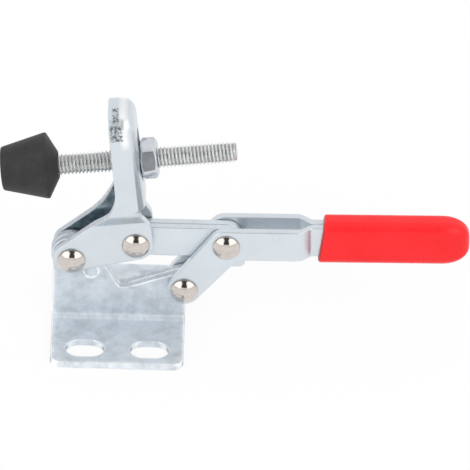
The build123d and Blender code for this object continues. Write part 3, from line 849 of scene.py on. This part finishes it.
def grip_section(half_height, half_thickness, edge):
    """A rounded rectangle's outline as (across, up), evenly stepped by angle."""
    edge = min(edge, half_height * FULLEST_EDGE, half_thickness * FULLEST_EDGE)
    section = []
    for k in range(GRIP_RING):
        turn = 2 * pi * (k + 0.5) / GRIP_RING
        quadrant_x = 1 if cos(turn) > 0 else -1
        quadrant_z = 1 if sin(turn) > 0 else -1
        across = quadrant_x * (half_thickness - edge) + edge * cos(turn)
        up = quadrant_z * (half_height - edge) + edge * sin(turn)
        section.append((across, up))
    return section


def grip_rings():
    """Sections as (along, half height, half thickness, edge): over the lip, along the grip and round its end."""
    rings = [(along, STRIP_HALF_HEIGHT, STRIP_HALF_THICKNESS, STRIP_EDGE) for along in (LIP_LENGTH, LIP_TURNED_IN)]
    for k in range(LIP_STEPS + 1):
        turn = pi / 2 * k / LIP_STEPS
        rings.append((LIP_LENGTH * (1 - cos(turn)),
                      STRIP_HALF_HEIGHT + (grip_half_height - STRIP_HALF_HEIGHT) * sin(turn),
                      STRIP_HALF_THICKNESS + (grip_half_thickness - STRIP_HALF_THICKNESS) * sin(turn),
                      STRIP_EDGE + (GRIP_EDGE - STRIP_EDGE) * sin(turn)))
    body = grip_end - grip_start - END_LENGTH
    for k in range(1, GRIP_STATIONS + 1):
        along = LIP_LENGTH + (body - LIP_LENGTH) * k / GRIP_STATIONS
        rings.append((along, grip_half_height, grip_half_thickness, GRIP_EDGE))
    for k in range(1, END_STEPS + 1):
        turn = pi / 2 * k / END_STEPS
        shrink = max(cos(turn), 0.0)
        height_share = END_TIP + (1 - END_TIP) * shrink**END_HEIGHT_POWER if k < END_STEPS else END_LAST
        rings.append((body + END_LENGTH * sin(turn), grip_half_height * height_share,
                      max(grip_half_thickness * shrink**END_THICKNESS_POWER, END_LEAST_THICKNESS),
                      max(GRIP_EDGE * shrink**END_THICKNESS_POWER, END_LEAST_EDGE)))
    return rings


def dipped_grip():
    """Points and faces of the grip, closed at both ends."""
    points, faces = [], []
    rings = grip_rings()
    for along, half_height, half_thickness, edge in rings:
        fade = max(0.0, 1 - along / DIP_FADE)
        for across, up in grip_section(half_height, half_thickness, edge):
            fallen = min(max((1 - up / grip_half_height) / 2, 0.0), 1.0)
            lean = (DIP_TOP_AT - DIP_DROP * fallen**DIP_CURVE) * fade
            points.append(handle_point(grip_start + along + lean, across, grip_middle + up))
    for row in range(len(rings) - 1):
        for k in range(GRIP_RING):
            after = (k + 1) % GRIP_RING
            low, high = row * GRIP_RING, (row + 1) * GRIP_RING
            faces.append((low + k, high + k, high + after, low + after))
    last = (len(rings) - 1) * GRIP_RING
    faces.append(tuple(last + k for k in range(GRIP_RING)))
    faces.append(tuple(reversed(range(GRIP_RING))))
    return points, faces


grip_mesh = mesh_from("hand_grip_dipped", *dipped_grip())
with opened(grip_mesh) as grip_work:
    bmesh.ops.recalc_face_normals(grip_work, faces=grip_work.faces)
smooth_by_angle(grip_mesh, GRIP_CRISP_ANGLE)
new_piece("hand_grip_dipped", grip_mesh, "handle", "hand_grip", vinyl)

# ---------------------------------------------------------------- floor and world

FLOOR_HALF_SIZE = 6.0
FLOOR_LIT_SHARE = 0.12
FLOOR_ALBEDO = 0.8
WORLD_LIGHT = 0.9


def white_floor(lit_share, albedo):
    """A white ground. To the eye and in reflections part of its white is its own, the rest is lit and shaded."""
    m = Nodes("white_floor")
    m.tree.nodes.remove(m.shader)
    path = m.add("ShaderNodeLightPath").outputs
    seen = m.larger(m.larger(path["Is Camera Ray"], path["Is Glossy Ray"]), path["Is Transmission Ray"])
    lit = m.add("ShaderNodeBsdfDiffuse")
    lit.inputs["Color"].default_value = (albedo, albedo, albedo, 1)
    partly = m.add("ShaderNodeBsdfDiffuse")
    partly.inputs["Color"].default_value = (lit_share, lit_share, lit_share, 1)
    own = m.add("ShaderNodeEmission")
    own.inputs["Strength"].default_value = 1 - lit_share
    both = m.add("ShaderNodeAddShader")
    m.link(partly.outputs[0], both.inputs[0])
    m.link(own.outputs[0], both.inputs[1])
    switch = m.add("ShaderNodeMixShader")
    for number, source in enumerate((seen, lit.outputs[0], both.outputs[0])):
        m.link(source, switch.inputs[number])
    m.link(switch.outputs[0], m.tree.nodes["Material Output"].inputs["Surface"])
    return m.material


SQUARE = ((-1, -1), (1, -1), (1, 1), (-1, 1))
floor_corners = [(x * FLOOR_HALF_SIZE, y * FLOOR_HALF_SIZE, 0) for x, y in SQUARE]
floor = add_object("floor", mesh_from("floor", floor_corners, [(0, 1, 2, 3)]))
floor.data.materials.append(white_floor(FLOOR_LIT_SHARE, FLOOR_ALBEDO))

world = bpy.data.worlds.new("studio")
bpy.context.scene.world = world
world.use_nodes = True
world_nodes, world_links = world.node_tree.nodes, world.node_tree.links
background = world_nodes["Background"]
background.inputs["Color"].default_value = (1, 1, 1, 1)
background.inputs["Strength"].default_value = WORLD_LIGHT
world_path = world_nodes.new("ShaderNodeLightPath")
camera_white = world_nodes.new("ShaderNodeBackground")
camera_white.inputs["Strength"].default_value = 1.0
world_switch = world_nodes.new("ShaderNodeMixShader")
world_links.new(world_path.outputs["Is Camera Ray"], world_switch.inputs[0])
world_links.new(background.outputs[0], world_switch.inputs[1])
world_links.new(camera_white.outputs[0], world_switch.inputs[2])
world_links.new(world_switch.outputs[0], world_nodes["World Output"].inputs["Surface"])

# ---------------------------------------------------------------- light

model_centre = (cad_box[0] + cad_box[1]) / 2


def direction_of(azimuth, elevation):
    """A direction from the object: azimuth 0 is the front, 90 the right."""
    return Vector((sin(radians(azimuth)) * cos(radians(elevation)),
                   -cos(radians(azimuth)) * cos(radians(elevation)), sin(radians(elevation))))


def softbox(name, azimuth, elevation, distance, width, height, radiance):
    """A rectangular lamp that faces the object."""
    lamp = bpy.data.lights.new(name, "AREA")
    lamp.shape = "RECTANGLE"
    lamp.size, lamp.size_y = width, height
    lamp.energy = radiance * pi * width * height
    holder = add_object(name, lamp)
    towards = direction_of(azimuth, elevation)
    holder.location = model_centre + towards * distance
    holder.rotation_euler = towards.to_track_quat("Z", "Y").to_euler()
    holder.visible_camera = False


def dark_card(name, azimuth, elevation, distance, width, height, level):
    """A dark gap between the softboxes, which only reflections show."""
    placing = direction_of(azimuth, elevation).to_track_quat("Z", "Y").to_matrix().to_4x4()
    placing.translation = model_centre + direction_of(azimuth, elevation) * distance
    corners = [placing @ Vector((x * width / 2, y * height / 2, 0)) for x, y in SQUARE]
    card = add_object(name, mesh_from(name, corners, [(0, 1, 2, 3)]))
    m = Nodes(name)
    m.tree.nodes.remove(m.shader)
    glow = m.add("ShaderNodeEmission")
    glow.inputs["Color"].default_value = (level, level, level * 1.05, 1)
    m.link(glow.outputs[0], m.tree.nodes["Material Output"].inputs["Surface"])
    card.data.materials.append(m.material)
    card.visible_camera = card.visible_diffuse = card.visible_shadow = card.visible_transmission = False


softbox("softbox_left", azimuth=-45, elevation=30, distance=1.0, width=0.85, height=0.75, radiance=0.75)
softbox("softbox_right", azimuth=45, elevation=30, distance=1.0, width=0.85, height=0.75, radiance=0.75)
dark_card("dark_gap", azimuth=0, elevation=42, distance=1.1, width=0.72, height=1.10, level=0.07)

# ---------------------------------------------------------------- camera

IMAGE_SIZE = 470
PIXELS_PER_MM = 3.65
ELEVATION = 36.0
ROLL = 1.66
CAMERA_DISTANCE = 4.0
# Where the shared frame's origin lies in the photo
ORIGIN_PIXEL = (118.35, 319.2)
SENSOR_WIDTH = 36.0
NEAREST, FARTHEST = 0.1, 50.0

view_right = Vector(RIGHT)
view_back = direction_of(0, ELEVATION)
view_up = view_back.cross(view_right)
roll = radians(ROLL)
offset_x = IMAGE_SIZE / 2 - ORIGIN_PIXEL[0]
offset_y = IMAGE_SIZE / 2 - ORIGIN_PIXEL[1]
along_right = (offset_x * cos(roll) + offset_y * sin(roll)) / PIXELS_PER_MM * MM
along_up = (offset_x * sin(roll) - offset_y * cos(roll)) / PIXELS_PER_MM * MM
target = view_right * along_right + view_up * along_up
camera_up = view_up * cos(roll) - view_right * sin(roll)
camera_right = view_right * cos(roll) + view_up * sin(roll)

camera_data = bpy.data.cameras.new("camera")
camera_data.sensor_width = SENSOR_WIDTH
camera_data.lens = SENSOR_WIDTH * CAMERA_DISTANCE / (IMAGE_SIZE / PIXELS_PER_MM * MM)
camera_data.clip_start, camera_data.clip_end = NEAREST, FARTHEST
camera = add_object("camera", camera_data)
camera_turn = Matrix((camera_right, camera_up, view_back)).transposed().to_4x4()
camera.matrix_world = Matrix.Translation(target + view_back * CAMERA_DISTANCE) @ camera_turn
bpy.context.scene.camera = camera
bpy.context.scene.view_settings.view_transform = "Standard"
